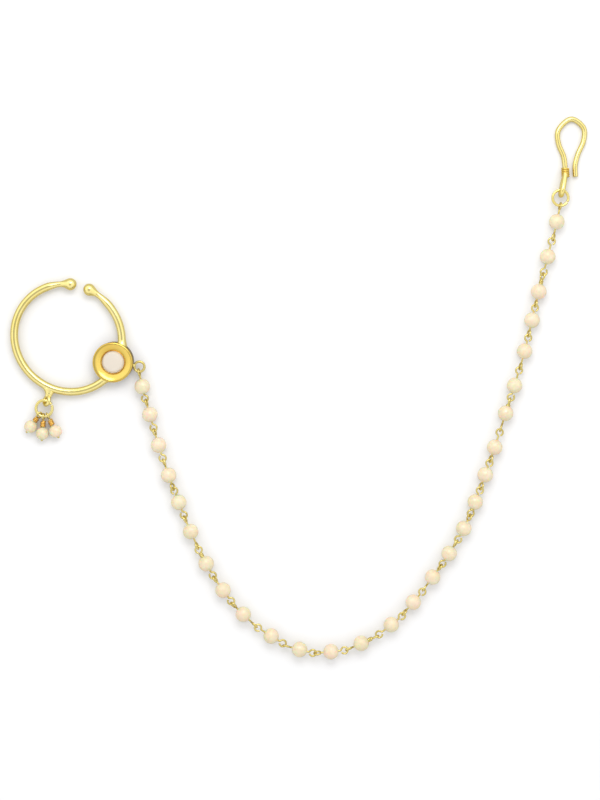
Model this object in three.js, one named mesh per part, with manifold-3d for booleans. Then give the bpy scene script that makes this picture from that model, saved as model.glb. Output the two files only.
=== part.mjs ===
// Nath nose ring: an open hoop with ball ends, a stone in a dished setting, a cluster
// of three pearl drops, and a chain of pearls on eye pins that ends in a hair hook.
// Millimetres, +Z up. It lies flat, and every place is measured from the hoop's centre
// until the last lines move the origin to the middle of the underside.

import * as THREE from 'three';
import { mergeVertices } from 'three/addons/utils/BufferGeometryUtils.js';
import Module from 'manifold-3d';

// Hoop: a slightly oval round wire, thinned to a neck before each ball end.
const HOOP_RADIUS = 13.87;
const HOOP_OVAL = 0.37; // how far the radius grows and shrinks
const HOOP_SHORT_AXIS = 45; // degrees
const HOOP_HEIGHT = 1.55; // of the wire's centre line
const HOOP_WIRE_RADIUS = 1.0;
const HOOP_NECK_RADIUS = 0.7;
const BALL_RADIUS = 1.55;
const BALL_ANGLES = { first: 87, last: 426 }; // degrees, the wire runs round the far side

// Setting: a round cup with a flat closed back and a rim dished towards the stone.
const SETTING = { x: 11.8, y: -6.0 };
const SETTING_RADIUS = 5.2;
const SETTING_HEIGHT = 3.4;
const WELL_RADIUS = 3.05;
const WELL_FLOOR = 1.0;
const STONE_RADIUS = 2.75;
const STONE_GAP = 0.3;

// Rings and loops of round wire: ring is the mean radius, wire the wire's radius.
const CHAIN_RING = { ring: 1.3, wire: 0.325, x: 18.4, y: -7.4 };
const DROP_LOOP = { ring: 1.1, wire: 0.45 };
const DROP_RING = { ring: 2.1, wire: 0.375, x: -6.3, y: -18.2 };
const HOOK_RING = { ring: 2.0, wire: 0.35, x: 126.6, y: 35.9 };
const PIN_LOOP = { ring: 0.85, wire: 0.25 };
const PIN_SIDES = 4; // the pins' wire is fine, so four sides and eight bends show it
const PIN_BENDS = 8;
const DROP_PIN_LOOP = { ring: 0.9, wire: 0.225 };

// Drop cluster: pearls on head pins that hang from the drop ring.
const DROP_ROOT = { x: -4.6, y: -13.2 }; // where the solder meets the hoop
const DROP_PEARL_RADIUS = 1.65;
const DROP_PEARLS = [
  { x: -9.8, y: -22.9 },
  { x: -6.8, y: -24.7 },
  { x: -3.4, y: -24.1 },
];
const WRAP_RADIUS = 0.55;
const HEAD_RADIUS = 0.42;

// Chain: where its centre line runs, from the first pearl's centre to the last's.
const CHAIN_ROUTE = [
  [19.1, -12.5], [23.4, -28.1], [28.5, -42.7], [35.8, -59.0], [45.8, -72.4],
  [59.9, -81.0], [71.6, -80.8], [83.3, -74.6], [94.2, -62.0], [102.2, -49.3],
  [107.4, -36.2], [112.7, -20.0], [117.5, -4.0], [121.1, 11.5], [125.7, 29.8],
];
const PEARL_RADIUS = 2.0;
const BORE_RADIUS = 0.55;
// Each letter is a link between two pearls. Its pitch is short, medium or long, and the
// first or the second of its two loops lies flat while the other stands on edge.
const LINK_PITCH = { s: 7.5, m: 8.2, l: 9.2 };
const LINK_SIZES = 'smmsmlmmlmmmlmmssssslslmsll';
const LINK_FLAT = '111212112111211222111211121';
const PINS_TO_A_SOLID = 4;
const LOOP_SPACING = { apart: 0.85, joined: 1.3 }; // between the centres of linked loops

// Hook: its wire, and the stem's turned eye, which stands on edge.
const HOOK_WIRE_RADIUS = 0.65;
const HOOK_ROUTE = [
  [127.9, 41.6], [127.9, 43.4], [127.5, 46.6], [126.2, 49.8], [126.1, 53.2], [129.4, 56.1],
  [132.6, 53.8], [132.6, 50.6], [131.2, 47.2], [130.5, 44.3], [130.6, 41.4],
];
const EYE_RADIUS = 1.3;
const HOOK_WRAP = { x: 127.9, y: 42.4, radius: 1.0, length: 2.0 };

const GOLD = { color: 0xe0c878, roughness: 0.22, metalness: 1.0 };
const SETTING_GOLD = { color: 0xdcb650, roughness: 0.25, metalness: 1.0 };
const PEARL = { color: 0xeedcbc, roughness: 0.3, metalness: 0.0 };
const STONE = { color: 0xf0e6dc, roughness: 0.08, metalness: 0.0 };

const UP = new THREE.Vector3(0, 0, 1);
const radians = THREE.MathUtils.degToRad;
const flatPoint = ({ x, y }, z = 0) => new THREE.Vector3(x, y, z);

const wasm = await Module();
wasm.setup();

function toSolid(geometry) {
  const bare = geometry.clone();
  bare.deleteAttribute('normal');
  bare.deleteAttribute('uv');
  const merged = mergeVertices(bare, 1e-4);
  return new wasm.Manifold(new wasm.Mesh({
    numProp: 3,
    vertProperties: new Float32Array(merged.attributes.position.array),
    triVerts: new Uint32Array(merged.index.array),
  }));
}

function toGeometry(solid) {
  const mesh = solid.getMesh();
  const geometry = new THREE.BufferGeometry();
  geometry.setAttribute('position', new THREE.BufferAttribute(mesh.vertProperties, 3));
  geometry.setIndex(new THREE.BufferAttribute(mesh.triVerts, 1));
  return geometry;
}

function join(geometries, cutter = null) {
  const whole = geometries.map(toSolid).reduce((sum, next) => sum.add(next));
  return toGeometry(cutter ? whole.subtract(toSolid(cutter)) : whole);
}

function node(name, geometry, finish) {
  const mesh = new THREE.Mesh(geometry, new THREE.MeshStandardMaterial(finish));
  mesh.name = name;
  return mesh;
}

// A round bar along a curve in one plane. Each station is a share of the curve's length
// and the bar's radius there; a radius of 0 closes the bar at its centre line.
function bar(curve, planeNormal, stations, sides) {
  const points = [];
  const rings = stations.map(({ at, radius }) => {
    const centre = curve.getPointAt(at);
    const first = points.length;
    const count = radius === 0 ? 1 : sides;
    const across = new THREE.Vector3().crossVectors(planeNormal, curve.getTangentAt(at));
    for (let i = 0; i < count; i += 1) {
      const turn = (2 * Math.PI * i) / sides;
      points.push(centre.clone()
        .addScaledVector(across, radius * Math.cos(turn))
        .addScaledVector(planeNormal, radius * Math.sin(turn)));
    }
    return { first, count };
  });
  const faces = [];
  for (let i = 1; i < rings.length; i += 1) {
    const [back, front] = [rings[i - 1], rings[i]];
    for (let side = 0; side < sides; side += 1) {
      const next = (side + 1) % sides;
      const [a, b] = [back.first + (side % back.count), back.first + (next % back.count)];
      const [c, d] = [front.first + (side % front.count), front.first + (next % front.count)];
      if (back.count > 1) faces.push(a, b, c);
      if (front.count > 1) faces.push(b, d, c);
    }
  }
  const geometry = new THREE.BufferGeometry().setFromPoints(points);
  geometry.setIndex(faces);
  return geometry;
}

// Stations of an even bar: its full radius from end to end, and a flat cap on each end.
function evenStations(radius, steps) {
  const body = Array.from({ length: steps + 1 }, (_, i) => ({ at: i / steps, radius }));
  return [{ at: 0, radius: 0 }, ...body, { at: 1, radius: 0 }];
}

// A solid of revolution about +Z from [radius, height] corners, upwards on the outside.
function turned(corners, segments) {
  const profile = corners.map(([radius, height]) => new THREE.Vector2(radius, height));
  return new THREE.LatheGeometry(profile, segments).rotateX(Math.PI / 2);
}

// A torus at a place, with the normal of its plane.
function ringAt({ ring, wire }, centre, normal, sides, segments) {
  const turn = new THREE.Quaternion().setFromUnitVectors(UP, normal);
  return new THREE.TorusGeometry(ring, wire, sides, segments)
    .applyQuaternion(turn)
    .translate(...centre);
}

// A straight rod between two points.
function rod(start, end, radius, sides) {
  const line = new THREE.LineCurve3(start, end);
  const along = end.clone().sub(start).normalize();
  const side = new THREE.Vector3().crossVectors(along, UP).normalize();
  return bar(line, side, evenStations(radius, 1), sides);
}

class HoopCurve extends THREE.Curve {
  getPoint(share) {
    const overhang = THREE.MathUtils.radToDeg(BALL_RADIUS / HOOP_RADIUS);
    const start = BALL_ANGLES.first - overhang;
    const degrees = start + share * (BALL_ANGLES.last + overhang - start);
    const oval = HOOP_OVAL * Math.cos(radians(2 * (degrees - HOOP_SHORT_AXIS)));
    const radius = HOOP_RADIUS - oval;
    return new THREE.Vector3(
      radius * Math.cos(radians(degrees)),
      radius * Math.sin(radians(degrees)),
      HOOP_HEIGHT,
    );
  }
}

// The bar's radius along one end of the hoop, by distance from the ball's tip.
function endProfile() {
  const ball = [0, 28, 56, 84, 105, 124].map((degrees) => ({
    distance: BALL_RADIUS * (1 - Math.cos(radians(degrees))),
    radius: BALL_RADIUS * Math.sin(radians(degrees)),
  }));
  return [
    ...ball,
    { distance: 3.1, radius: 1.0 },
    { distance: 4.2, radius: HOOP_NECK_RADIUS },
    { distance: 5.6, radius: 0.86 },
    { distance: 7.4, radius: HOOP_WIRE_RADIUS },
  ];
}

function hoopWire() {
  const curve = new HoopCurve();
  const length = curve.getLength();
  const end = endProfile().map(({ distance, radius }) => ({ at: distance / length, radius }));
  const last = end.at(-1).at;
  const steps = 44;
  const middle = Array.from({ length: steps - 1 }, (_, i) => ({
    at: last + ((1 - 2 * last) * (i + 1)) / steps,
    radius: HOOP_WIRE_RADIUS,
  }));
  const mirrored = end.map(({ at, radius }) => ({ at: 1 - at, radius })).reverse();
  return bar(curve, UP, [...end, ...middle, ...mirrored], 10);
}

// The filled cup, before its dish and well are cut.
function settingBody() {
  const lip = SETTING_RADIUS - 0.3;
  return turned([
    [0, 0], [SETTING_RADIUS - 0.45, 0], [SETTING_RADIUS - 0.15, 0.35],
    [SETTING_RADIUS, SETTING_HEIGHT - 0.25], [lip, SETTING_HEIGHT], [0, SETTING_HEIGHT],
  ], 32).translate(SETTING.x, SETTING.y, 0);
}

// The dish of the rim and the stone's well below it, as one cutting shape.
function settingCutter() {
  return turned([
    [0, WELL_FLOOR], [WELL_RADIUS, WELL_FLOOR], [WELL_RADIUS, SETTING_HEIGHT - 1.0],
    [WELL_RADIUS + 0.85, SETTING_HEIGHT - 0.45], [SETTING_RADIUS - 0.5, SETTING_HEIGHT],
    [SETTING_RADIUS - 0.5, SETTING_HEIGHT + 1.0], [0, SETTING_HEIGHT + 1.0],
  ], 32).translate(SETTING.x, SETTING.y, 0);
}

// The loop that carries the drops stands on edge, towards the drop ring's centre, so
// that the ring's wire runs through the middle of it.
function dropLoop() {
  const root = flatPoint(DROP_ROOT, HOOP_HEIGHT);
  const ringCentre = flatPoint(DROP_RING, HOOP_HEIGHT);
  const towardsRoot = root.clone().sub(ringCentre).normalize();
  const centre = ringCentre.clone().addScaledVector(towardsRoot, DROP_RING.ring);
  const edgeways = new THREE.Vector3().crossVectors(towardsRoot, UP);
  const foot = centre.clone().addScaledVector(towardsRoot, DROP_LOOP.ring);
  const stem = new THREE.LineCurve3(root, foot);
  const flare = [
    { at: 0, radius: 0 }, { at: 0, radius: 0.95 }, { at: 0.5, radius: 0.9 },
    { at: 1, radius: 0.5 }, { at: 1, radius: 0 },
  ];
  return [
    ringAt(DROP_LOOP, centre, edgeways, 8, 16),
    bar(stem, UP, flare, 8),
  ];
}

// The flat ring on the setting's side that the chain starts from, and its solder.
function chainRing() {
  const centre = flatPoint(CHAIN_RING, PEARL_RADIUS);
  const towardsSetting = flatPoint(SETTING, PEARL_RADIUS).sub(centre).normalize();
  const wall = centre.distanceTo(flatPoint(SETTING, PEARL_RADIUS)) - SETTING_RADIUS;
  const nearWire = centre.clone().addScaledVector(towardsSetting, CHAIN_RING.ring);
  const inWall = centre.clone().addScaledVector(towardsSetting, wall + 0.5);
  return [
    ringAt(CHAIN_RING, centre, UP, 8, 18),
    rod(nearWire, inWall, CHAIN_RING.wire + 0.15, 8),
  ];
}

function noseHoop() {
  return join([settingBody(), hoopWire(), ...chainRing(), ...dropLoop()], settingCutter());
}

// A flat-bottomed stone with a low faceted crown.
function stone() {
  const bottom = WELL_FLOOR + STONE_GAP;
  return turned([
    [0, bottom], [STONE_RADIUS - 0.25, bottom], [STONE_RADIUS, bottom + 0.4],
    [STONE_RADIUS, bottom + 1.0], [STONE_RADIUS - 0.45, bottom + 1.45],
    [STONE_RADIUS - 1.3, bottom + 1.75], [0, bottom + 1.85],
  ], 24).translate(SETTING.x, SETTING.y, 0);
}

// A bead bored along an axis: the ball's outline outside and the bore inside.
function bead(radius, centre, axis) {
  const edge = Math.asin(BORE_RADIUS / radius);
  const steps = 6;
  const outline = Array.from({ length: steps + 1 }, (_, i) => {
    const angle = edge + ((Math.PI - 2 * edge) * i) / steps;
    return [radius * Math.sin(angle), -radius * Math.cos(angle)];
  });
  const turn = new THREE.Quaternion().setFromUnitVectors(UP, axis);
  return turned([...outline, outline[0]], 10).applyQuaternion(turn).translate(...centre);
}

// Pearl centres along the chain, the axis of the pin through each, and how far its two
// loops are from its centre.
function chainPins() {
  const points = CHAIN_ROUTE.map(([x, y]) => new THREE.Vector3(x, y, PEARL_RADIUS));
  const curve = new THREE.CatmullRomCurve3(points, false, 'centripetal');
  const pitches = [...LINK_SIZES].map((letter) => LINK_PITCH[letter]);
  const total = pitches.reduce((sum, pitch) => sum + pitch);
  let travelled = 0;
  const centres = [0, ...pitches].map((pitch) => {
    travelled += pitch;
    return curve.getPointAt(Math.min(travelled / total, 1));
  });
  const ringStart = flatPoint(CHAIN_RING, PEARL_RADIUS);
  const ringEnd = flatPoint(HOOK_RING, PEARL_RADIUS);
  const reach = (index) => {
    const apart = index % PINS_TO_A_SOLID === 0 ? LOOP_SPACING.apart : LOOP_SPACING.joined;
    return (centres[index].distanceTo(centres[index - 1]) - apart) / 2;
  };
  return centres.map((centre, index) => {
    const first = index === 0;
    const last = index === centres.length - 1;
    const before = first ? ringStart : centres[index - 1];
    const after = last ? ringEnd : centres[index + 1];
    return {
      centre,
      axis: after.clone().sub(before).normalize(),
      reachBack: first ? centre.distanceTo(ringStart) - CHAIN_RING.ring : reach(index),
      reachOn: last ? centre.distanceTo(ringEnd) - HOOK_RING.ring : reach(index + 1),
      flatBack: !first && LINK_FLAT[index - 1] === '2',
      flatOn: !last && LINK_FLAT[index] === '1',
    };
  });
}

// A straight pin through a pearl with a turned loop on each end.
function eyePin({ centre, axis, reachBack, reachOn, flatBack, flatOn }) {
  const standing = new THREE.Vector3().crossVectors(axis, UP);
  const back = centre.clone().addScaledVector(axis, -reachBack);
  const on = centre.clone().addScaledVector(axis, reachOn);
  const backEdge = back.clone().addScaledVector(axis, PIN_LOOP.ring);
  const onEdge = on.clone().addScaledVector(axis, -PIN_LOOP.ring);
  return [
    ringAt(PIN_LOOP, back, flatBack ? UP : standing, PIN_SIDES, PIN_BENDS),
    rod(backEdge, onEdge, PIN_LOOP.wire, PIN_SIDES),
    ringAt(PIN_LOOP, on, flatOn ? UP : standing, PIN_SIDES, PIN_BENDS),
  ];
}

function chain() {
  const pins = chainPins();
  const pearls = pins.map(({ centre, axis }, index) => {
    const name = `pearl_${String(index + 1).padStart(2, '0')}`;
    return node(name, bead(PEARL_RADIUS, centre, axis), PEARL);
  });
  const wires = Array.from({ length: pins.length / PINS_TO_A_SOLID }, (_, index) => {
    const start = index * PINS_TO_A_SOLID;
    const group = pins.slice(start, start + PINS_TO_A_SOLID);
    return node(`chain_wire_${index + 1}`, join(group.flatMap(eyePin)), GOLD);
  });
  return [...pearls, ...wires];
}

// A pearl on a head pin: the loop on the drop ring, its wraps, the wire and the head.
function dropPin(pearlCentre, axis) {
  const ringCentre = flatPoint(DROP_RING, HOOP_HEIGHT);
  const along = (distance) => ringCentre.clone().addScaledVector(axis, distance);
  const reach = ringCentre.distanceTo(pearlCentre);
  const wrapStart = DROP_RING.ring + DROP_PIN_LOOP.ring;
  const wrapEnd = reach - DROP_PEARL_RADIUS - 0.1;
  const headAt = reach + DROP_PEARL_RADIUS + 0.2;
  const edgeways = new THREE.Vector3().crossVectors(axis, UP);
  return join([
    ringAt(DROP_PIN_LOOP, along(DROP_RING.ring), edgeways, 6, 12),
    rod(along(wrapStart), along(wrapEnd), WRAP_RADIUS, 8),
    rod(along(wrapStart), along(headAt), DROP_PIN_LOOP.wire, 6),
    rod(along(headAt - 0.05), along(headAt + 0.3), HEAD_RADIUS, 8),
  ]);
}

function drops() {
  const ringCentre = flatPoint(DROP_RING, HOOP_HEIGHT);
  const hung = DROP_PEARLS.flatMap((place, index) => {
    const centre = flatPoint(place, DROP_PEARL_RADIUS);
    const axis = centre.clone().sub(ringCentre).normalize();
    return [
      node(`drop_pearl_${index + 1}`, bead(DROP_PEARL_RADIUS, centre, axis), PEARL),
      node(`drop_pin_${index + 1}`, dropPin(centre, axis), GOLD),
    ];
  });
  return [node('drop_ring', ringAt(DROP_RING, ringCentre, UP, 8, 24), GOLD), ...hung];
}

// The hook lies flat. Its stem turns back on itself in an upright eye round the wire of
// the hook ring, and the wire's end is wrapped and soldered where it meets the stem.
function hook() {
  const route = HOOK_ROUTE.map(([x, y]) => new THREE.Vector3(x, y, HOOK_WIRE_RADIUS));
  const bow = new THREE.CatmullRomCurve3(route, false, 'centripetal');
  const wrapCentre = flatPoint(HOOK_WRAP);
  const ringCentre = flatPoint(HOOK_RING);
  const towardsWrap = wrapCentre.clone().sub(ringCentre).normalize();
  const bendCentre = ringCentre.clone().addScaledVector(towardsWrap, HOOK_RING.ring);
  const eyePoint = (distance, height) => bendCentre.clone()
    .addScaledVector(towardsWrap, distance)
    .setZ(HOOK_WIRE_RADIUS + height);
  const stem = bendCentre.distanceTo(wrapCentre);
  const bend = [-90, -45, 0, 45, 90].map((degrees) => eyePoint(
    -EYE_RADIUS * Math.cos(radians(degrees)),
    EYE_RADIUS * (1 + Math.sin(radians(degrees))),
  ));
  const eye = new THREE.CatmullRomCurve3([
    eyePoint(stem + 0.8, 0), eyePoint(stem * 0.5, 0), eyePoint(EYE_RADIUS * 0.4, 0), ...bend,
    eyePoint(stem * 0.4, 2 * EYE_RADIUS - 0.35), eyePoint(stem, 0.75),
  ], false, 'centripetal');
  const standing = new THREE.Vector3().crossVectors(UP, towardsWrap);
  const half = towardsWrap.clone().multiplyScalar(HOOK_WRAP.length / 2);
  const wrap = wrapCentre.setZ(HOOK_WRAP.radius);
  return join([
    bar(bow, UP, evenStations(HOOK_WIRE_RADIUS, 32), 8),
    bar(eye, standing, evenStations(HOOK_WIRE_RADIUS, 18), 8),
    rod(wrap.clone().sub(half), wrap.clone().add(half), HOOK_WRAP.radius, 10),
  ]);
}

const layout = new THREE.Group();
layout.add(
  node('nose_hoop', noseHoop(), SETTING_GOLD),
  node('stone', stone(), STONE),
  ...drops(),
  ...chain(),
  node('hook_ring', ringAt(HOOK_RING, flatPoint(HOOK_RING, PEARL_RADIUS), UP, 8, 20), GOLD),
  node('hook', hook(), GOLD),
);

const box = new THREE.Box3().setFromObject(layout, true);
const middle = box.getCenter(new THREE.Vector3());
layout.position.set(-middle.x, -middle.y, -box.min.z);

const nath = new THREE.Group();
nath.add(layout);
nath.updateMatrixWorld(true);

export default nath;
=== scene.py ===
"""Nath nose ring, laid on a pale table: a gold hoop with ball ends and a stone in a dished
setting, three pearl drops, and a pearl chain that ends in a hair hook.

Lengths are in metres. MM turns the maker's millimetres into metres.
"""

import bpy
import numpy as np
from mathutils import Matrix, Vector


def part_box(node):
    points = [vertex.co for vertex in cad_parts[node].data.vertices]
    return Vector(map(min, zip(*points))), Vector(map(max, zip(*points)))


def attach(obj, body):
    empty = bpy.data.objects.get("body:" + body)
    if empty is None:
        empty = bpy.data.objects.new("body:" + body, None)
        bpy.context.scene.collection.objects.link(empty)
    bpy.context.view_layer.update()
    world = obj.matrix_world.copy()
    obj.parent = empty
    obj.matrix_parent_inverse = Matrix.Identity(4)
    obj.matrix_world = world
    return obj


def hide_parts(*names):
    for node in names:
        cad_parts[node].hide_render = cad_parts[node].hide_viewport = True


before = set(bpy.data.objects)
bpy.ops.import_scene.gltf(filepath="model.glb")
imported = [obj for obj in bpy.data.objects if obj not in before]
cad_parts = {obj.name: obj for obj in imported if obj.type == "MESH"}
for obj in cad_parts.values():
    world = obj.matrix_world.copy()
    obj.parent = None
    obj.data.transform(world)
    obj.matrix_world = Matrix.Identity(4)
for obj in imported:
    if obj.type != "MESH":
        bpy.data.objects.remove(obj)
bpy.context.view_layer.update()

MM = 0.001
UP = np.array([0.0, 0.0, 1.0])
OBLIQUE = np.array([0.31, 0.2, 0.93])  # near upright, and along no wire

# Hoop
HOOP_RADIUS = 13.87 * MM
HOOP_OVAL = 0.37 * MM
HOOP_SHORT_AXIS = 45.0  # degrees
HOOP_HEIGHT = 1.55 * MM
HOOP_WIRE = 1.0 * MM
HOOP_NECK = 0.7 * MM
BALL_RADIUS = 1.55 * MM
BALL_ANGLES = (87.0, 426.0)  # degrees
BALL_COVER = 116.0  # degrees of the ball's outline, from its tip to where the flare starts
NECK_PLACE = 4.2 * MM  # from the ball's tip
TAPER_END = 7.6 * MM
ARM_OVERLAP = 0.9 * MM  # how far the wire runs into the cup's wall
END_LENGTH = 9 * MM  # the shaped end of an arm, which has closer sections
END_STEP = 0.2 * MM
ARM_STEP = 0.45 * MM
FILLET_REACH = 1.1 * MM  # solder at the cup: where it starts, and how much it thickens the wire
FILLET_SWELL = 0.16
HOOP_TO_SETTING = np.array([11.8, -6.0]) * MM

# Setting and stone, from the table up
SETTING_RADIUS = 5.2 * MM
SETTING_LEAN = np.array([-0.06, -0.09, 0.0])  # how far it shifts for each unit of height
# Painted shade: a thin ring of darker, more orange gold wire laid on the stone's edge.
STONE_EDGE_SHADE = {"ring": 2.98 * MM, "wire": 0.11 * MM, "height": 2.47 * MM}

# Rings of round wire: mean radius, wire radius, place from the hoop's centre
CHAIN_RING = {"ring": 1.3 * MM, "wire": 0.325 * MM, "place": np.array([18.4, -7.4]) * MM}
DROP_LOOP = {"ring": 1.1 * MM, "wire": 0.45 * MM}
DROP_LOOP_ROLL = 52.0  # degrees, of the loop's plane from level
DROP_RING = {"ring": 2.1 * MM, "wire": 0.375 * MM}
HOOK_RING = {"ring": 2.0 * MM, "wire": 0.35 * MM}
DROP_ROOT = np.array([-4.6, -13.2]) * MM
WEB_FOOT = {"width": 0.85 * MM, "depth": 0.52 * MM}  # the solder under the hoop, half sizes
WEB_SPREAD = {"width": 1.55 * MM, "depth": 0.4 * MM, "lean": 0.9 * MM}  # what the hoop's end adds

# Drop pins
DROP_PEARL = 1.65 * MM
DROP_LOOP_RING = 0.78 * MM
DROP_PIN_WIRE = 0.225 * MM
DROP_ROLLS = (48.0, 88.0, -74.0)  # degrees, of the three loops
DROP_HEAD = 0.3 * MM
DROP_WRAP = {"radius": 0.54 * MM, "wire": 0.2 * MM, "pitch": 0.4 * MM}
WRAPPED = (0.2, 0.96)  # the stretch of the neck that is wrapped, in shares

# Chain: one letter or figure a link, in order from the setting
PEARLS = 28
PEARL = 2.0 * MM
BORE = 0.3 * MM
PIN_WIRE = 0.25 * MM
PIN_LOOP = 0.85 * MM
LOOP_SPACING = 1.12 * MM  # between the centres of linked loops
LOOP_SWEEP = (222, 510)  # degrees, from the bend to the cut end beside the stem
BEND_ROOM = 0.22 * MM
LINK_FLAT = "111212112111211222111211121"  # which of a link's two loops lies flat
LINK_COIL = "-----2------1----2---1---1-"  # which of them is wrapped round its stem
CHAIN_SEED = 28
LINK_WRAP = {"radius": 0.4 * MM, "wire": 0.19 * MM, "pitch": 0.38 * MM}
FLAT_ROLLS = (2, 15)  # degrees, least and most
UPRIGHT_ROLLS = (60, 82)
END_ROLLS = (82.0, 84.0)  # of the loops in the chain ring and the hook ring
END_SLACK = 0.12 * MM  # how far those loops hang inside their rings
PINS_TO_A_PIECE = 4

# Hook
HOOK_WIRE = 0.65 * MM
HOOK_ROUTE = np.array([
    [127.9, 41.6], [127.9, 43.4], [127.5, 46.6], [126.2, 49.8], [126.1, 53.2], [129.4, 56.1],
    [132.6, 53.8], [132.6, 50.6], [131.2, 47.2], [130.5, 44.3], [130.6, 41.4],
]) * MM
EYE_RADIUS = 1.3 * MM
HOOK_WRAP = np.array([127.9, 42.4]) * MM
HOOK_COIL = {"radius": 0.82 * MM, "wire": 0.24 * MM, "length": 2.1 * MM, "turns": 4.6, "tall": 1.22}


# ---------------------------------------------------------------- shapes

def unit(vectors):
    """Each vector divided by its length."""
    return vectors / np.linalg.norm(vectors, axis=-1, keepdims=True)


def radians(degrees):
    return np.deg2rad(degrees)


def hermite(share, start, end, slope_start, slope_end):
    """The cubic with the given values and slopes at share 0 and 1."""
    t = np.asarray(share, float)
    return (
        (2 * t**3 - 3 * t**2 + 1) * start + (t**3 - 2 * t**2 + t) * slope_start
        + (3 * t**2 - 2 * t**3) * end + (t**3 - t**2) * slope_end
    )


def smooth_route(corners, count):
    """Points at equal steps along the centripetal Catmull-Rom curve through the corners: on each
    stretch the cubic's end slopes come from the square roots of the neighbouring chords."""
    corners = np.asarray(corners, float)
    points = np.vstack([2 * corners[0] - corners[1], corners, 2 * corners[-1] - corners[-2]])
    knots = run_along(points, 0.5)
    p0, p1, p2, p3 = points[:-3], points[1:-2], points[2:-1], points[3:]
    k0, k1, k2, k3 = (k[:, None] for k in (knots[:-3], knots[1:-2], knots[2:-1], knots[3:]))
    slope1 = ((p1 - p0) / (k1 - k0) - (p2 - p0) / (k2 - k0) + (p2 - p1) / (k2 - k1)) * (k2 - k1)
    slope2 = ((p2 - p1) / (k2 - k1) - (p3 - p1) / (k3 - k1) + (p3 - p2) / (k3 - k2)) * (k2 - k1)
    share = np.linspace(0, 1, 60)[:, None, None]
    fine = hermite(share, p1, p2, slope1, slope2).transpose(1, 0, 2).reshape(-1, points.shape[1])
    return evenly(fine, count)


def run_along(points, power=1.0):
    """The distance along a polyline to each of its points, each chord raised to a power."""
    chords = np.linalg.norm(np.diff(points, axis=0), axis=1)
    return np.concatenate([[0], np.cumsum(chords**power)])


def evenly(points, count):
    """The polyline's points at equal steps of its length."""
    run = run_along(points)
    wanted = np.linspace(0, run[-1], count)
    return np.stack([np.interp(wanted, run, points[:, i]) for i in range(points.shape[1])], axis=1)


def skin(rings, closed=False, first=None, last=None):
    """Quads between neighbouring rings of points. A closed run joins the last ring to the first;
    an open one closes each end with a fan to a middle point."""
    count, sides = rings.shape[:2]
    index = np.arange(count * sides).reshape(count, sides)
    after = np.roll(index, -1, axis=1)
    bands = slice(None, None if closed else -1)
    ahead = np.roll(index, -1, axis=0)[bands]
    ahead_after = np.roll(after, -1, axis=0)[bands]
    quads = np.stack([index[bands], after[bands], ahead_after, ahead], axis=-1).reshape(-1, 4)
    vertices = rings.reshape(-1, 3)
    if closed:
        return vertices, quads.tolist()
    first = rings[0].mean(axis=0) if first is None else first
    last = rings[-1].mean(axis=0) if last is None else last
    vertices = np.vstack([vertices, first, last])
    start, end = count * sides, count * sides + 1
    opening = np.stack([np.full(sides, start), after[0], index[0]], axis=-1)
    closing = np.stack([np.full(sides, end), index[-1], after[-1]], axis=-1)
    return vertices, quads.tolist() + opening.tolist() + closing.tolist()


def carried_sides(tangent):
    """A direction square to each tangent, carried along the path without twisting."""
    sides = [unit(np.cross(tangent[0], OBLIQUE))]
    for ahead in tangent[1:]:
        sides.append(unit(sides[-1] - ahead * (sides[-1] @ ahead)))
    return np.array(sides)


def tube(path, radius, sides=16, normal=None):
    """A round wire along a path. Its points are path(i) + radius(i) (cos a side(i) + sin a top(i)),
    where top = tangent x side, and a goes once round. With a normal it is a closed, flat ring."""
    if normal is None:
        tangent = unit(np.gradient(path, axis=0))
        side = carried_sides(tangent)
    else:
        tangent = unit(np.roll(path, -1, axis=0) - np.roll(path, 1, axis=0))
        side = unit(np.cross(normal, tangent))
    top = np.cross(tangent, side)
    angle = (np.arange(sides) * 2 * np.pi / sides)[None, :, None]
    reach = np.broadcast_to(radius, len(path))[:, None, None]
    around = np.cos(angle) * side[:, None, :] + np.sin(angle) * top[:, None, :]
    return skin(path[:, None, :] + reach * around, closed=normal is not None)


def turned(profile, centre, axis=UP, segments=96, closed=False):
    """A profile of (radius, height) turned once round an axis. An open profile starts and ends on
    the axis; a closed one joins up. It runs upwards on the outside."""
    profile = np.asarray(profile, float)
    axis = unit(np.asarray(axis, float))
    side = unit(np.cross(axis, [0.0, 1.0, 0.0] if abs(axis[1]) < 0.9 else [1.0, 0.0, 0.0]))
    other = np.cross(axis, side)
    angle = (np.arange(segments) * 2 * np.pi / segments)[None, :, None]
    around = np.cos(angle) * side + np.sin(angle) * other
    rings = centre + profile[:, :1, None] * around + profile[:, 1:, None] * axis
    if closed:
        return skin(rings, closed=True)
    return skin(rings[1:-1], first=rings[0, 0], last=rings[-1, 0])


def rounded_ends(radius, path, edge):
    """The radius along a path, eased in at both ends as a quarter circle of the edge's size."""
    run = run_along(path)
    inset = np.clip(np.minimum(run, run[-1] - run) / edge, 0, 1)
    return np.broadcast_to(radius, len(path)) - edge * (1 - np.sqrt(1 - (1 - inset) ** 2))


def fine_ends(path, edge, steps=5):
    """The path with a few close points added at each end, for a rounded edge."""
    inset = edge * (1 - np.cos(np.linspace(0, np.pi / 2, steps + 1)[:-1]))[:, None]
    ahead = unit(path[1] - path[0])
    behind = unit(path[-2] - path[-1])
    start = path[0] + inset * ahead
    end = path[-1] + inset[::-1] * behind
    inner = path[1:-1]
    keep = np.linalg.norm(inner - path[0], axis=1) > edge
    keep &= np.linalg.norm(inner - path[-1], axis=1) > edge
    return np.vstack([start, inner[keep], end])


def cut_wire(path, radius, sides=16, edge=0.06 * MM):
    """A wire cut square at both ends, with a filed edge."""
    path = fine_ends(path, edge)
    return tube(path, rounded_ends(radius, path, edge), sides)


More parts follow.
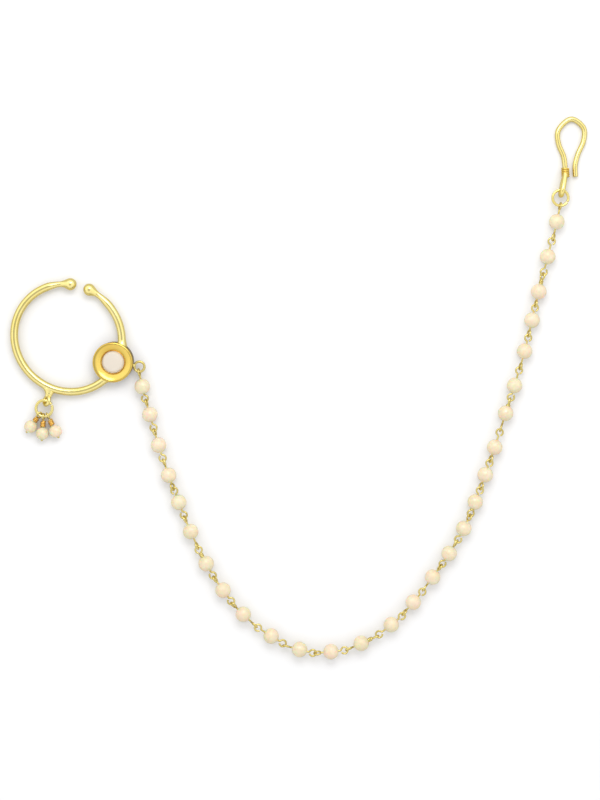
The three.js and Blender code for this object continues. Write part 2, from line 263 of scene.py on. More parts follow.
def ball(centre, radii, segments=32):
    """An ellipsoid: a half circle turned round +Z, scaled by its three radii."""
    angle = np.linspace(0, np.pi, segments // 2 + 1)
    half_circle = np.stack([np.sin(angle), -np.cos(angle)], axis=1)
    vertices, faces = turned(half_circle, 0.0, segments=segments)
    return vertices * np.asarray(radii, float) + centre, faces


def piece(name, shapes, material, nodes):
    """One smooth mesh object from several closed shapes, standing for CAD nodes."""
    vertices, faces, start = [], [], 0
    for points, polygons in shapes:
        vertices.append(points)
        faces += [[i + start for i in polygon] for polygon in polygons]
        start += len(points)
    mesh = bpy.data.meshes.new(name)
    mesh.from_pydata(np.vstack(vertices), [], faces)
    mesh.polygons.foreach_set("use_smooth", np.ones(len(mesh.polygons), bool))
    mesh.materials.append(material)
    mesh.update()
    obj = bpy.data.objects.new(name, mesh)
    bpy.context.collection.objects.link(obj)
    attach(obj, "root")
    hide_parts(*nodes)
    return obj


# ---------------------------------------------------------------- materials

def node(tree, kind, inputs=None, **settings):
    """A shader node with its settings and its unlinked inputs filled in."""
    made = tree.nodes.new(kind)
    for key, value in settings.items():
        setattr(made, key, value)
    for key, value in (inputs or {}).items():
        made.inputs[key].default_value = value
    return made


def group_tree(name, inputs, outputs):
    """An empty shader node group with named sockets."""
    tree = bpy.data.node_groups.new(name, "ShaderNodeTree")
    for label, kind, value in inputs:
        socket = tree.interface.new_socket(label, in_out="INPUT", socket_type=kind)
        socket.default_value = value
    for label, kind in outputs:
        tree.interface.new_socket(label, in_out="OUTPUT", socket_type=kind)
    return tree, tree.nodes.new("NodeGroupInput"), tree.nodes.new("NodeGroupOutput")


def noise(tree, coordinates, scale, detail=3.0, roughness=0.5):
    made = node(tree, "ShaderNodeTexNoise",
                {"Scale": scale, "Detail": detail, "Roughness": roughness})
    tree.links.new(coordinates, made.inputs["Vector"])
    return made


def spread(tree, value, low, high, to_low=0.0, to_high=1.0):
    """Map a value's low to high on to another range, clamped."""
    made = node(tree, "ShaderNodeMapRange", {
        "From Min": low, "From Max": high, "To Min": to_low, "To Max": to_high})
    tree.links.new(value, made.inputs["Value"])
    return made.outputs["Result"]


def blend_colours(tree, factor, first, second):
    made = node(tree, "ShaderNodeMix", data_type="RGBA")
    tree.links.new(factor, made.inputs["Factor"])
    tree.links.new(first, made.inputs["A"])
    tree.links.new(second, made.inputs["B"])
    return made.outputs["Result"]


def plate_group():
    """Gold plate: cloudy thick and thin patches, faint polishing lines and fine pits."""
    tree, given, out = group_tree(
        "GoldPlate",
        [("Bright", "NodeSocketColor", (0.9, 0.75, 0.4, 1)),
         ("Deep", "NodeSocketColor", (0.7, 0.5, 0.2, 1)),
         ("Polish", "NodeSocketFloat", 0.12),
         ("Wear", "NodeSocketFloat", 0.2)],
        [("Color", "NodeSocketColor"), ("Roughness", "NodeSocketFloat"),
         ("Height", "NodeSocketFloat")],
    )
    place = tree.nodes.new("ShaderNodeTexCoord").outputs["Object"]
    clouds = noise(tree, place, 260.0, 3.0)
    lines = noise(tree, place, 2600.0, 2.0)
    pits = noise(tree, place, 5200.0, 1.0)
    patch = spread(tree, clouds.outputs["Fac"], 0.35, 0.7)
    colour = blend_colours(tree, patch, given.outputs["Bright"], given.outputs["Deep"])
    tree.links.new(colour, out.inputs["Color"])
    worn = node(tree, "ShaderNodeMath", operation="MULTIPLY")
    tree.links.new(spread(tree, lines.outputs["Fac"], 0.4, 0.75), worn.inputs[0])
    tree.links.new(given.outputs["Wear"], worn.inputs[1])
    rough = node(tree, "ShaderNodeMath", operation="ADD")
    tree.links.new(worn.outputs[0], rough.inputs[0])
    tree.links.new(given.outputs["Polish"], rough.inputs[1])
    tree.links.new(rough.outputs[0], out.inputs["Roughness"])
    height = node(tree, "ShaderNodeMath", operation="ADD")
    tree.links.new(clouds.outputs["Fac"], height.inputs[0])
    tree.links.new(spread(tree, pits.outputs["Fac"], 0.3, 0.7, 0.0, 0.12), height.inputs[1])
    tree.links.new(height.outputs[0], out.inputs["Height"])
    return tree


def nacre_group():
    """Pearl coat: each bead's own tint from a wide noise, a mottled depth and faint ripples."""
    tree, given, out = group_tree(
        "Nacre",
        [("Cream", "NodeSocketColor", (0.9, 0.8, 0.6, 1)),
         ("Blush", "NodeSocketColor", (0.9, 0.75, 0.62, 1)),
         ("Pale", "NodeSocketColor", (0.95, 0.92, 0.82, 1))],
        [("Color", "NodeSocketColor"), ("Roughness", "NodeSocketFloat"),
         ("Height", "NodeSocketFloat")],
    )
    place = tree.nodes.new("ShaderNodeTexCoord").outputs["Object"]
    own = noise(tree, place, 110.0, 1.0)
    mottle = noise(tree, place, 420.0, 2.0)
    ripple = noise(tree, place, 1500.0, 2.0)
    tint = spread(tree, own.outputs["Fac"], 0.4, 0.6)
    colour = blend_colours(tree, tint, given.outputs["Cream"], given.outputs["Blush"])
    milky = spread(tree, mottle.outputs["Fac"], 0.45, 0.75, 0.0, 0.55)
    colour = blend_colours(tree, milky, colour, given.outputs["Pale"])
    tree.links.new(colour, out.inputs["Color"])
    gloss = spread(tree, ripple.outputs["Fac"], 0.3, 0.7, 0.24, 0.4)
    tree.links.new(gloss, out.inputs["Roughness"])
    tree.links.new(ripple.outputs["Fac"], out.inputs["Height"])
    return tree


def surface_material(name, group, values, constants, bump):
    """A Principled surface fed with Color, Roughness and Height by a node group."""
    material = bpy.data.materials.new(name)
    material.use_nodes = True
    tree = material.node_tree
    shader = tree.nodes["Principled BSDF"]
    for key, value in constants.items():
        shader.inputs[key].default_value = value
    finish = tree.nodes.new("ShaderNodeGroup")
    finish.node_tree = group
    for key, value in values.items():
        finish.inputs[key].default_value = value
    tree.links.new(finish.outputs["Color"], shader.inputs["Base Color"])
    tree.links.new(finish.outputs["Roughness"], shader.inputs["Roughness"])
    relief = node(tree, "ShaderNodeBump", bump)
    tree.links.new(finish.outputs["Height"], relief.inputs["Height"])
    tree.links.new(relief.outputs["Normal"], shader.inputs["Normal"])
    return material


def stone_material():
    """Polished glass, milky with the pale foil behind it, with a faint warm tint."""
    material = bpy.data.materials.new("ClearStone")
    material.use_nodes = True
    shader = material.node_tree.nodes["Principled BSDF"]
    for key, value in {
        "Base Color": (0.98, 0.9, 0.79, 1), "Roughness": 0.03, "IOR": 1.5,
        "Transmission Weight": 0.4,
    }.items():
        shader.inputs[key].default_value = value
    return material


plate = plate_group()
nacre = nacre_group()
HOOP_GOLD = surface_material(
    "HoopGold", plate,
    {"Bright": (0.9, 0.78, 0.33, 1), "Deep": (0.88, 0.73, 0.25, 1), "Polish": 0.18, "Wear": 0.08},
    {"Metallic": 1.0}, {"Strength": 0.25, "Distance": 0.0001})
SETTING_GOLD = surface_material(
    "SettingGold", plate,
    {"Bright": (0.79, 0.58, 0.14, 1), "Deep": (0.76, 0.52, 0.11, 1), "Polish": 0.13, "Wear": 0.08},
    {"Metallic": 1.0}, {"Strength": 0.25, "Distance": 0.0001})
PIN_GOLD = surface_material(
    "PinGold", plate,
    {"Bright": (0.77, 0.65, 0.26, 1), "Deep": (0.62, 0.5, 0.16, 1), "Polish": 0.17, "Wear": 0.14},
    {"Metallic": 1.0}, {"Strength": 0.3, "Distance": 0.00008})
WRAP_GOLD = surface_material(
    "WrapGold", plate,
    {"Bright": (0.82, 0.52, 0.13, 1), "Deep": (0.6, 0.3, 0.05, 1), "Polish": 0.2, "Wear": 0.16},
    {"Metallic": 1.0}, {"Strength": 0.3, "Distance": 0.00008})
# Painted shade: a dark gold for a skin laid over the setting's outer wall.
SHADE_WALL_GOLD = surface_material(
    "PaintedShadeWallGold", plate,
    {"Bright": (0.26, 0.19, 0.07, 1), "Deep": (0.18, 0.12, 0.05, 1), "Polish": 0.3, "Wear": 0.2},
    {"Metallic": 1.0}, {"Strength": 0.3, "Distance": 0.0001})
PEARL_COAT = surface_material(
    "PearlCoat", nacre,
    {"Cream": (0.72, 0.65, 0.43, 1), "Blush": (0.77, 0.65, 0.47, 1), "Pale": (0.82, 0.77, 0.59, 1)},
    {"Coat Weight": 0.6, "Coat Roughness": 0.12, "Coat IOR": 1.6,
     "Subsurface Weight": 0.6, "Subsurface Scale": 0.0012},
    {"Strength": 0.08, "Distance": 0.00005})
FOIL = surface_material(
    "StoneFoil", plate,
    {"Bright": (1.0, 0.95, 0.87, 1), "Deep": (0.98, 0.88, 0.8, 1), "Polish": 0.28, "Wear": 0.1},
    {"Metallic": 0.35}, {"Strength": 0.15, "Distance": 0.0001})
CLEAR_STONE = stone_material()


# ---------------------------------------------------------------- hoop and setting

def middle(name):
    """The middle of a CAD node's box."""
    low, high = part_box(name)
    return (np.array(low) + np.array(high)) / 2


def at(place, height):
    """A point over the table from a place measured from the hoop's centre."""
    return np.array([HOOP_CENTRE[0] + place[0], HOOP_CENTRE[1] + place[1], height])


SETTING_CENTRE = middle("stone") * [1, 1, 0]
HOOP_CENTRE = SETTING_CENTRE[:2] - HOOP_TO_SETTING


def hoop_point(degrees):
    """The oval wire's centre line: radius = mean - oval cos 2(angle - short axis)."""
    angle = radians(degrees)
    radius = HOOP_RADIUS - HOOP_OVAL * np.cos(2 * (angle - radians(HOOP_SHORT_AXIS)))
    return np.stack([
        HOOP_CENTRE[0] + radius * np.cos(angle),
        HOOP_CENTRE[1] + radius * np.sin(angle),
        np.full_like(angle, HOOP_HEIGHT),
    ], axis=-1)


def hoop_radius(distance):
    """The wire's radius by distance from the ball's tip: a ball, a flare that draws in to the
    neck, and a slow taper back up to the wire."""
    leave = BALL_RADIUS * (1 - np.cos(radians(BALL_COVER)))
    from_middle = np.minimum(distance, leave) - BALL_RADIUS
    on_ball = np.sqrt(np.clip(BALL_RADIUS**2 - from_middle**2, 0, None))
    edge = BALL_RADIUS * np.sin(radians(BALL_COVER))
    slope = (BALL_RADIUS - leave) / edge * (NECK_PLACE - leave)
    to_neck = np.clip((distance - leave) / (NECK_PLACE - leave), 0, 1)
    to_wire = np.clip((distance - NECK_PLACE) / (TAPER_END - NECK_PLACE), 0, 1)
    flare = hermite(to_neck, edge, HOOP_NECK, slope, 0)
    taper = hermite(to_wire, HOOP_NECK, HOOP_WIRE, 0, 0)
    return np.where(distance < leave, on_ball, np.where(distance < NECK_PLACE, flare, taper))


def hoop_arm(ball_angle, turn, sides=40):
    """One arm of the hoop, from its ball's tip to inside the setting's wall. Its wire flares into
    a small fillet of solder where it meets the wall."""
    overhang = np.rad2deg(BALL_RADIUS / HOOP_RADIUS)
    tip = ball_angle - turn * overhang
    sweep = tip + turn * np.linspace(0, 340, 3400)
    gap = np.linalg.norm(hoop_point(sweep)[:, :2] - SETTING_CENTRE[:2], axis=1)
    inside = np.argmax(gap < SETTING_RADIUS - ARM_OVERLAP)
    fine = hoop_point(sweep[:inside])
    run = run_along(fine)
    ball_steps = BALL_RADIUS * (1 - np.cos(np.linspace(0.12, radians(BALL_COVER), 22)))
    steps = np.concatenate([ball_steps, np.arange(ball_steps[-1], END_LENGTH, END_STEP)[1:],
                            np.arange(END_LENGTH, run[-1], ARM_STEP), run[-1:]])
    path = np.stack([np.interp(steps, run, fine[:, i]) for i in range(3)], axis=1)
    to_wall = np.linalg.norm(path[:, :2] - SETTING_CENTRE[:2], axis=1) - SETTING_RADIUS
    near = np.where(steps > END_LENGTH, np.clip(1 - to_wall / FILLET_REACH, 0, 1.4), 0)
    radius = hoop_radius(steps) * (1 + FILLET_SWELL * near**2)
    return tube(path, radius, sides)


def leaned(shape):
    """A shape of the setting, leaned with it: the cup is soldered on a little askew."""
    vertices, faces = shape
    return vertices + vertices[:, 2:] * SETTING_LEAN, faces


def setting_profile():
    """The cup's outline from the middle of its back: flat back, flared wall, filed lip, the broad
    outer band, the steeper inner band down to the stone, the edge on the stone, the seat."""
    lip = np.array([4.86, 3.08]) * MM
    roll = radians(np.linspace(0, 100, 12))[:, None]
    rolled = lip + 0.31 * MM * np.hstack([np.cos(roll), np.sin(roll)])
    outer = hermite(np.linspace(0, 1, 7)[1:, None], rolled[-1], np.array([3.86, 3.06]) * MM,
                    np.array([-0.7, -0.1]) * MM, np.array([-0.8, -0.5]) * MM)
    inner = hermite(np.linspace(0, 1, 9)[1:, None], outer[-1], np.array([3.08, 2.5]) * MM,
                    np.array([-0.5, -0.3]) * MM, np.array([-0.35, -0.55]) * MM)
    edge = np.array([[3.03, 2.48], [2.98, 2.5], [2.93, 2.55], [2.9, 2.5]]) * MM
    seat = np.array([[2.9, 2.4], [2.9, 1.2], [0.0, 1.2]]) * MM
    back = np.array([[0.0, 0.0], [2.5, 0.0], [4.7, 0.0], [4.86, 0.03], [4.97, 0.13], [5.03, 0.3],
                     [5.1, 1.8], [5.16, 2.9]]) * MM
    return np.vstack([back, rolled, outer, inner, edge, seat])


def setting_wall_shade():
    """A dark gold skin over the cup's outer wall, from just above the table to below the lip:
    painted shade on the wall.
    """
    shade_profile = np.array([[4.9, 0.06], [5.0, 0.12], [5.06, 0.3], [5.12, 1.8], [5.18, 2.9],
                             [5.17, 3.04], [5.1, 3.02], [4.9, 1.8]]) * MM
    return turned(shade_profile, SETTING_CENTRE, segments=128, closed=True)


def drop_root():
    """The web of solder under the hoop, with a bead of solder on it. The web's oval sections run
    from the wire to the drop loop, wide along the wire at first and then drawn in:
    width(t) = foot + spread (1 - t)^2.4. Its depth and its lean to one side fade likewise."""
    root = at(DROP_ROOT, HOOP_HEIGHT)
    ring = middle("drop_ring")
    down = unit(ring - root)
    along = np.cross(UP, down)
    foot = ring - down * (DROP_RING["ring"] + DROP_LOOP["ring"])
    share = np.linspace(0, 1, 24)[:, None, None]
    width = WEB_FOOT["width"] + WEB_SPREAD["width"] * (1 - share) ** 2.4
    depth = WEB_FOOT["depth"] + WEB_SPREAD["depth"] * (1 - share) ** 1.5
    lean = -WEB_SPREAD["lean"] * (1 - share) ** 3
    angle = (np.arange(28) * 2 * np.pi / 28)[None, :, None]
    centre = root + share * (foot - root) + lean * along
    rings = centre + width * np.cos(angle) * along + depth * np.sin(angle) * UP
    bead = ball(root + 1.2 * MM * down + [0, 0, 0.34 * MM], [0.66 * MM, 0.6 * MM, 0.34 * MM])
    return [skin(rings), bead]


def round_ring(centre, normal, ring, wire, start=0.0, opening=0.0, sides=16, steps=96):
    """A ring of wire: ring (cos a, sin a) in the plane of its normal. With an opening, in degrees,
    it is a jump ring cut at the start angle; without one it is closed."""
    normal = unit(np.asarray(normal, float))
    side = unit(np.cross(normal, OBLIQUE if abs(normal[2]) < 0.9 else [0, 1.0, 0]))
    other = np.cross(normal, side)
    if opening:
        angle = radians(start + np.linspace(opening / 2, 360 - opening / 2, steps))[:, None]
    else:
        angle = (np.arange(steps) * 2 * np.pi / steps)[:, None]
    path = centre + ring * (np.cos(angle) * side + np.sin(angle) * other)
    if opening:
        return cut_wire(path, wire, sides)
    return tube(path, wire, sides, normal)


def build_hoop():
    ring_centre = at(CHAIN_RING["place"], PEARL)
    drop_centre = middle("drop_ring")
    towards_root = unit(at(DROP_ROOT, HOOP_HEIGHT) - drop_centre)
    loop_centre = drop_centre + towards_root * DROP_RING["ring"]
    loop_normal = np.cross(towards_root, roll_direction(towards_root, DROP_LOOP_ROLL))
    towards_setting = unit(SETTING_CENTRE + [0, 0, PEARL] - ring_centre)
    solder = ball(ring_centre + towards_setting * 1.5 * MM, [0.55 * MM, 0.5 * MM, 0.42 * MM])
    piece("hoop_wire", [
        hoop_arm(BALL_ANGLES[0], 1), hoop_arm(BALL_ANGLES[1], -1),
        *drop_root(),
        round_ring(loop_centre, loop_normal, DROP_LOOP["ring"], DROP_LOOP["wire"]),
    ], HOOP_GOLD, ["nose_hoop"])
    piece("setting_cup", [leaned(turned(setting_profile(), SETTING_CENTRE, segments=128))],
          SETTING_GOLD, ["nose_hoop"])
    # A darker orange wire ring on the stone's edge: painted shade where stone and cup meet.
    edge = round_ring(SETTING_CENTRE + [0, 0, STONE_EDGE_SHADE["height"]], UP,
                      STONE_EDGE_SHADE["ring"], STONE_EDGE_SHADE["wire"], sides=10, steps=128)
    piece("stone_edge_shade", [leaned(edge)], WRAP_GOLD, ["nose_hoop"])
    # The dark skin over the cup's outer wall is painted shade.
    piece("setting_wall_shade", [leaned(setting_wall_shade())], SHADE_WALL_GOLD, ["nose_hoop"])
    piece("chain_start_ring", [
        round_ring(ring_centre, UP, CHAIN_RING["ring"], CHAIN_RING["wire"]), solder,
    ], PIN_GOLD, ["nose_hoop"])


def build_stone():
    """A flat-cut stone, bevelled above and coned below, in a cup of pale foil."""
    cut = np.array([
        [0.0, 1.55], [2.02, 1.55], [2.1, 1.58], [2.7, 2.18], [2.82, 2.32], [2.84, 2.42],
        [2.82, 2.5], [2.34, 2.92], [2.26, 2.97], [2.16, 3.0], [1.6, 3.06], [1.0, 3.1],
        [0.4, 3.12], [0.0, 3.12],
    ]) * MM
    piece("stone_clear", [leaned(turned(cut, SETTING_CENTRE))], CLEAR_STONE, ["stone"])
    foil = np.array([
        [0.0, 1.3], [2.7, 1.3], [2.84, 1.36], [2.87, 1.5], [2.87, 2.26], [2.84, 2.28], [2.8, 2.24],
        [2.14, 1.54], [2.04, 1.49], [1.9, 1.48], [0.0, 1.45],
    ]) * MM
    piece("stone_foil", [leaned(turned(foil, SETTING_CENTRE))], FOIL, ["stone"])


# ---------------------------------------------------------------- beads, pins, drops

def bead(centre, axis, radius, segments=48):
    """A drilled pearl: an arc from hole to hole, the holes' softened edges and the bore, turned
    round its axis."""
    lip = 0.08 * MM
    start = np.arcsin((BORE + lip) / radius)
    angle = np.linspace(start, np.pi - start, 30)
    outside = np.stack([radius * np.sin(angle), -radius * np.cos(angle)], axis=1)
    height = radius * np.cos(start)
    top = np.array([[BORE + 0.3 * lip, height - 0.1 * lip], [BORE, height - lip]])
    hole = np.stack([np.full(4, BORE), np.linspace(0.6, -0.6, 4) * height], axis=1)
    bottom = top[::-1] * [1, -1]
    return turned(np.vstack([outside, top, hole, bottom]), centre, axis, segments, closed=True)


def eye_path(reach, ring):
    """One half of an eye pin in its own plane, as (along, across) points from the pearl's middle:
    the straight stem, the bend off it, and the loop round (reach, 0), ending by the stem."""
    leave = reach - ring - BEND_ROOM
    stem = np.stack([np.linspace(0, leave, 8)[:-1], np.zeros(7)], axis=1)
    join = radians(LOOP_SWEEP[0])
    onto = np.array([reach + ring * np.cos(join), ring * np.sin(join)])
    heading = np.array([-np.sin(join), np.cos(join)]) * 0.6 * MM
    bend = hermite(np.linspace(0, 1, 8)[:-1, None], np.array([leave, 0.0]), onto,
                   np.array([0.5 * MM, 0.0]), heading)
    angle = radians(np.linspace(*LOOP_SWEEP, 34))
    loop = np.stack([reach + ring * np.cos(angle), ring * np.sin(angle)], axis=1)
    return np.vstack([stem, bend, loop])


def roll_direction(axis, degrees):
    """Square to the axis: level at 0 degrees, upright at 90."""
    level = unit(np.cross(axis, UP))
    angle = radians(np.asarray(degrees, float))[..., None]
    return np.cos(angle) * level + np.sin(angle) * np.cross(level, axis)


def coil(centre, axis, start, length, radius, wire, turns, lean=0.0, tall=1.0, sides=8):
    """Wraps of wire round a level stem: a helix of the given radius, turns and length. Its height
    is tall times its width."""
    share = np.linspace(0, 1, int(24 * turns))
    around = roll_direction(axis, share * turns * 360 + lean)
    path = centre + (start + share * length)[:, None] * axis + radius * around * [1, 1, tall]
    return cut_wire(path, wire, sides, 0.04 * MM)


def eye_pin(centre, axis, reach_back, reach_on, roll_back, roll_on):
    """A wire through a pearl with a turned loop at each end. The roll eases from one loop's plane
    to the other's inside the pearl."""
    halves = [eye_path(reach_back, PIN_LOOP)[::-1] * [-1, 1], eye_path(reach_on, PIN_LOOP)[1:]]
    flat = fine_ends(np.vstack(halves), 0.05 * MM)
    ease = np.clip(flat[:, 0] / (2 * PEARL) + 0.5, 0, 1)
    roll = roll_back + (roll_on - roll_back) * ease**2 * (3 - 2 * ease)
    path = centre + flat[:, :1] * axis + flat[:, 1:] * roll_direction(axis, roll)
    return tube(path, rounded_ends(PIN_WIRE, path, 0.05 * MM), 10)


def build_chain():
    centres = np.array([middle(f"pearl_{i + 1:02d}") for i in range(PEARLS)])
    ring_start = at(CHAIN_RING["place"], PEARL)
    ring_end = middle("hook_ring")
    whole = np.vstack([ring_start, centres, ring_end])
    axes = unit(whole[2:] - whole[:-2])
    gaps = np.linalg.norm(np.diff(whole, axis=0), axis=1)
    halves = (gaps - LOOP_SPACING) / 2
    reach_back = np.concatenate([[gaps[0] - CHAIN_RING["ring"] - END_SLACK], halves[1:-1]])
    reach_on = np.concatenate([halves[1:-1], [gaps[-1] - HOOK_RING["ring"] - END_SLACK]])
    chance = np.random.default_rng(CHAIN_SEED)
    links = PEARLS - 1
    leaning = chance.choice([-1, 1], links)
    flat = chance.uniform(*FLAT_ROLLS, links) * -leaning
    upright = chance.uniform(*UPRIGHT_ROLLS, links) * leaning
    first_flat = np.array([mark == "1" for mark in LINK_FLAT])
    roll_on = np.append(np.where(first_flat, flat, upright), END_ROLLS[1])
    roll_back = np.insert(np.where(first_flat, upright, flat), 0, END_ROLLS[0])
    for start in range(0, PEARLS, PINS_TO_A_PIECE):
        shapes = []
        for i in range(start, start + PINS_TO_A_PIECE):
            shapes.append(eye_pin(centres[i], axes[i], reach_back[i], reach_on[i],
                                  roll_back[i], roll_on[i]))
            on, back = LINK_COIL[i:i + 1] == "1", i > 0 and LINK_COIL[i - 1] == "2"
            for wrapped, side, reach in ((on, 1, reach_on[i]), (back, -1, reach_back[i])):
                if wrapped:
                    length = reach - PIN_LOOP - PEARL - 0.1 * MM
                    turns = max(2.0, length / LINK_WRAP["pitch"])
                    shapes.append(coil(centres[i], side * axes[i], PEARL + 0.02 * MM, length,
                                       LINK_WRAP["radius"], LINK_WRAP["wire"], turns))
        number = start // PINS_TO_A_PIECE + 1
        piece(f"eye_pins_{number}", shapes, PIN_GOLD, [f"chain_wire_{number}"])
    for i in range(PEARLS):
        swell = chance.normal(1.0, 0.006)
        name = f"pearl_{i + 1:02d}"
        piece(f"chain_{name}", [bead(centres[i], axes[i], PEARL * min(swell, 1.0))],
              PEARL_COAT, [name])


def build_drops():
    ring = middle("drop_ring")
    piece("drop_jump_ring", [round_ring(ring, UP, DROP_RING["ring"], DROP_RING["wire"], 205, 5)],
          HOOP_GOLD, ["drop_ring"])
    for number, roll in enumerate(DROP_ROLLS, start=1):
        pearl = middle(f"drop_pearl_{number}")
        axis = unit(pearl - ring)
        reach = np.linalg.norm(pearl - ring)
        loop = ring + axis * (DROP_RING["ring"] + 0.05 * MM)
        neck = DROP_RING["ring"] + DROP_LOOP_RING
        bare = reach - DROP_PEARL - neck
        wraps = (WRAPPED[1] - WRAPPED[0]) * bare
        stem = ring + axis * np.linspace(neck, reach + DROP_PEARL + 0.12 * MM, 12)[:, None]
        head = ball(ring + axis * (reach + DROP_PEARL + 0.06 * MM), np.full(3, DROP_HEAD), 16)
        normal = np.cross(axis, roll_direction(axis, roll))
        piece(f"head_pin_{number}", [
            round_ring(loop, normal, DROP_LOOP_RING, DROP_PIN_WIRE, sides=12, steps=56),
            cut_wire(stem, DROP_PIN_WIRE, 10),
            head,
        ], PIN_GOLD, [f"drop_pin_{number}"])
        piece(f"head_pin_wraps_{number}", [
            coil(ring, axis, neck + WRAPPED[0] * bare, wraps, DROP_WRAP["radius"],
                 DROP_WRAP["wire"], wraps / DROP_WRAP["pitch"], 40.0 * number),
        ], WRAP_GOLD, [f"drop_pin_{number}"])
        piece(f"drop_bead_{number}", [bead(pearl, axis, DROP_PEARL, 40)],
              PEARL_COAT, [f"drop_pearl_{number}"])


def build_hook():
    """One wire: from its cut tip round the bow, down the stem, under and round the ring, back over
    itself and on to the wraps."""
    ring = middle("hook_ring")
    piece("hook_jump_ring", [round_ring(ring, UP, HOOK_RING["ring"], HOOK_RING["wire"], 150, 4)],
          HOOP_GOLD, ["hook_ring"])
    wrap = at(HOOK_WRAP, HOOK_WIRE)
    level = (wrap - ring) * [1, 1, 0]
    towards = unit(level)
    bend = ring * [1, 1, 0] + towards * HOOK_RING["ring"]
    stem = np.linalg.norm(wrap[:2] - bend[:2])
    turn = radians(np.linspace(-90, 90, 7))
    # The eye in its own upright plane: in along the table, half a turn, back down on to the wraps
    along = np.concatenate([[stem * 0.5, EYE_RADIUS * 0.4], -EYE_RADIUS * np.cos(turn),
                            [stem * 0.4, stem, stem + 0.7 * MM]])
    height = np.concatenate([[0, 0], EYE_RADIUS * (1 + np.sin(turn)),
                             [2 * EYE_RADIUS - 0.4 * MM, 0.95 * MM, 0.8 * MM]])
    eye = bend + along[:, None] * towards + (HOOK_WIRE + height)[:, None] * UP
    bow = np.array([at(corner, HOOK_WIRE) for corner in HOOK_ROUTE[::-1]])
    bow = smooth_route(bow, 180)
    eye = smooth_route(np.vstack([bow[-1], eye]), 110)
    wire = evenly(np.vstack([bow, eye[1:]]), 300)
    lean = unit(bow[-1] - bow[-24])
    wraps = coil(wrap + [0, 0, 0.58 * MM], lean, -HOOK_COIL["length"] / 2, HOOK_COIL["length"],
                 HOOK_COIL["radius"], HOOK_COIL["wire"], HOOK_COIL["turns"], tall=HOOK_COIL["tall"])
    solder = ball(wrap + [0, 0, 0.55 * MM], [0.78 * MM, 1.3 * MM, 0.95 * MM])
    piece("hair_hook", [cut_wire(wire, HOOK_WIRE, 24, 0.1 * MM)], HOOP_GOLD, ["hook"])
    piece("hook_wraps", [wraps, solder], SETTING_GOLD, ["hook"])


# ---------------------------------------------------------------- table, light, camera

TABLE_TONE = (0.86, 0.86, 0.87, 1)
# Painted shade: the table's darker, yellower tone where the metal reflects it.
TABLE_SHADE_IN_REFLECTIONS = (0.6, 0.56, 0.42, 1)
TABLE_HALF = 12.0  # metres, far enough that no view meets its edge


def build_stage():
    """A pale matt table. In glossy rays it turns darker and yellower: painted shade in the metal's
    reflections of it.
    """
    material = bpy.data.materials.new("Table")
    material.use_nodes = True
    tree = material.node_tree
    shader = tree.nodes["Principled BSDF"]
    shader.inputs["Roughness"].default_value = 0.9
    shader.inputs["Specular IOR Level"].default_value = 0.1
    path = tree.nodes.new("ShaderNodeLightPath")
    table_or_reflection_shade = node(tree, "ShaderNodeMix", {"Factor": 0.0}, data_type="RGBA")
    table_or_reflection_shade.inputs["A"].default_value = TABLE_TONE
    table_or_reflection_shade.inputs["B"].default_value = TABLE_SHADE_IN_REFLECTIONS
    tree.links.new(path.outputs["Is Glossy Ray"], table_or_reflection_shade.inputs["Factor"])
    tree.links.new(table_or_reflection_shade.outputs["Result"], shader.inputs["Base Color"])
    half = TABLE_HALF
    mesh = bpy.data.meshes.new("table")
    mesh.from_pydata([(-half, -half, 0), (half, -half, 0), (half, half, 0), (-half, half, 0)],
                     [], [(0, 1, 2, 3)])
    mesh.materials.append(material)
    table = bpy.data.objects.new("table", mesh)
    bpy.context.collection.objects.link(table)


def aim(obj, place, target):
    """Put a light or camera at a place, looking at the target, with the top of its view to +Y."""
    back = unit(np.asarray(place, float) - np.asarray(target, float))
    right = unit(np.cross([0, 1.0, 0], back))
    matrix = np.eye(4)
    matrix[:3, 0], matrix[:3, 1], matrix[:3, 2] = right, np.cross(back, right), back
    matrix[:3, 3] = place
    obj.matrix_world = Matrix(matrix.tolist())


def soft_box(name, place, target, size, power):
    light = bpy.data.lights.new(name, "AREA")
    light.shape = "RECTANGLE"
    light.size, light.size_y = size
    light.energy = power
    obj = bpy.data.objects.new(name, light)
    bpy.context.collection.objects.link(obj)
    aim(obj, place, target)


# Brightness of the studio by the height of the direction, 0 level and 1 above
STUDIO_RAMP = ((0.0, 0.35), (0.16, 0.6), (0.34, 0.95), (0.58, 1.0), (0.84, 1.0), (0.94, 0.55),
               (1.0, 0.4))
STUDIO_FRONT, STUDIO_BACK = 1.05, 1.46  # strength towards -Y and towards +Y


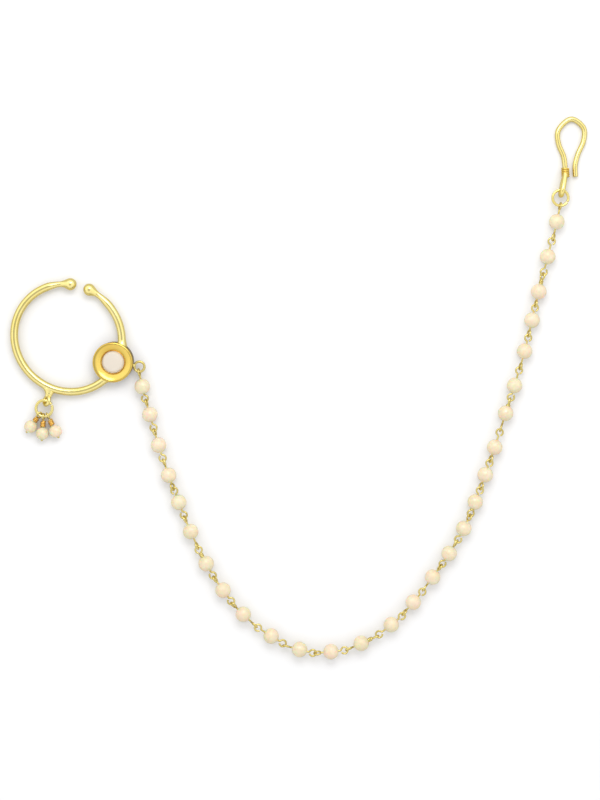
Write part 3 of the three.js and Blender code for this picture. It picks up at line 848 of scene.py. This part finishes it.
def build_world():
    """A white studio round the table: a darker patch straight above, a bright ring of diffusers
    round it, and grey walls."""
    world = bpy.data.worlds.new("Studio")
    world.use_nodes = True
    tree = world.node_tree
    direction = tree.nodes.new("ShaderNodeTexCoord")
    split = tree.nodes.new("ShaderNodeSeparateXYZ")
    ramp = tree.nodes.new("ShaderNodeValToRGB")
    tree.links.new(direction.outputs["Generated"], split.inputs[0])
    tree.links.new(split.outputs["Z"], ramp.inputs["Fac"])
    elements = ramp.color_ramp.elements
    for place, level in STUDIO_RAMP[1:-1]:
        elements.new(place)
    for element, (place, level) in zip(elements, STUDIO_RAMP):
        element.position = place
        element.color = (level, level, level, 1)
    background = tree.nodes["Background"]
    tree.links.new(ramp.outputs["Color"], background.inputs["Color"])
    brighter = spread(tree, split.outputs["Y"], -0.8, 0.8, STUDIO_FRONT, STUDIO_BACK)
    tree.links.new(brighter, background.inputs["Strength"])
    bpy.context.scene.world = world


VIEW_CENTRE = np.array([0.49, -2.62, 2.0]) * MM
VIEW_DISTANCE = 450 * MM
VIEW_LEAN = 3.0  # degrees, from straight above towards +Y
VIEW_HEIGHT = 206.4 * MM
SENSOR = 36.0  # millimetres
BOX_PLACE = np.array([10, 180, 260]) * MM
BOX_SIZE = (200 * MM, 120 * MM)
BOX_POWER = 0.26  # watts


def build_camera():
    lens = bpy.data.cameras.new("camera")
    lens.sensor_width = SENSOR
    lens.lens = SENSOR * VIEW_DISTANCE / VIEW_HEIGHT
    lens.clip_start = 0.01
    camera = bpy.data.objects.new("camera", lens)
    bpy.context.collection.objects.link(camera)
    lean = radians(VIEW_LEAN)
    place = VIEW_CENTRE + VIEW_DISTANCE * np.array([0, np.sin(lean), np.cos(lean)])
    aim(camera, place, VIEW_CENTRE)
    bpy.context.scene.camera = camera


build_hoop()
build_stone()
build_chain()
build_drops()
build_hook()
build_stage()
build_world()
build_camera()
soft_box("top_box", VIEW_CENTRE + BOX_PLACE, VIEW_CENTRE, BOX_SIZE, BOX_POWER)
bpy.context.scene.view_settings.view_transform = "Standard"
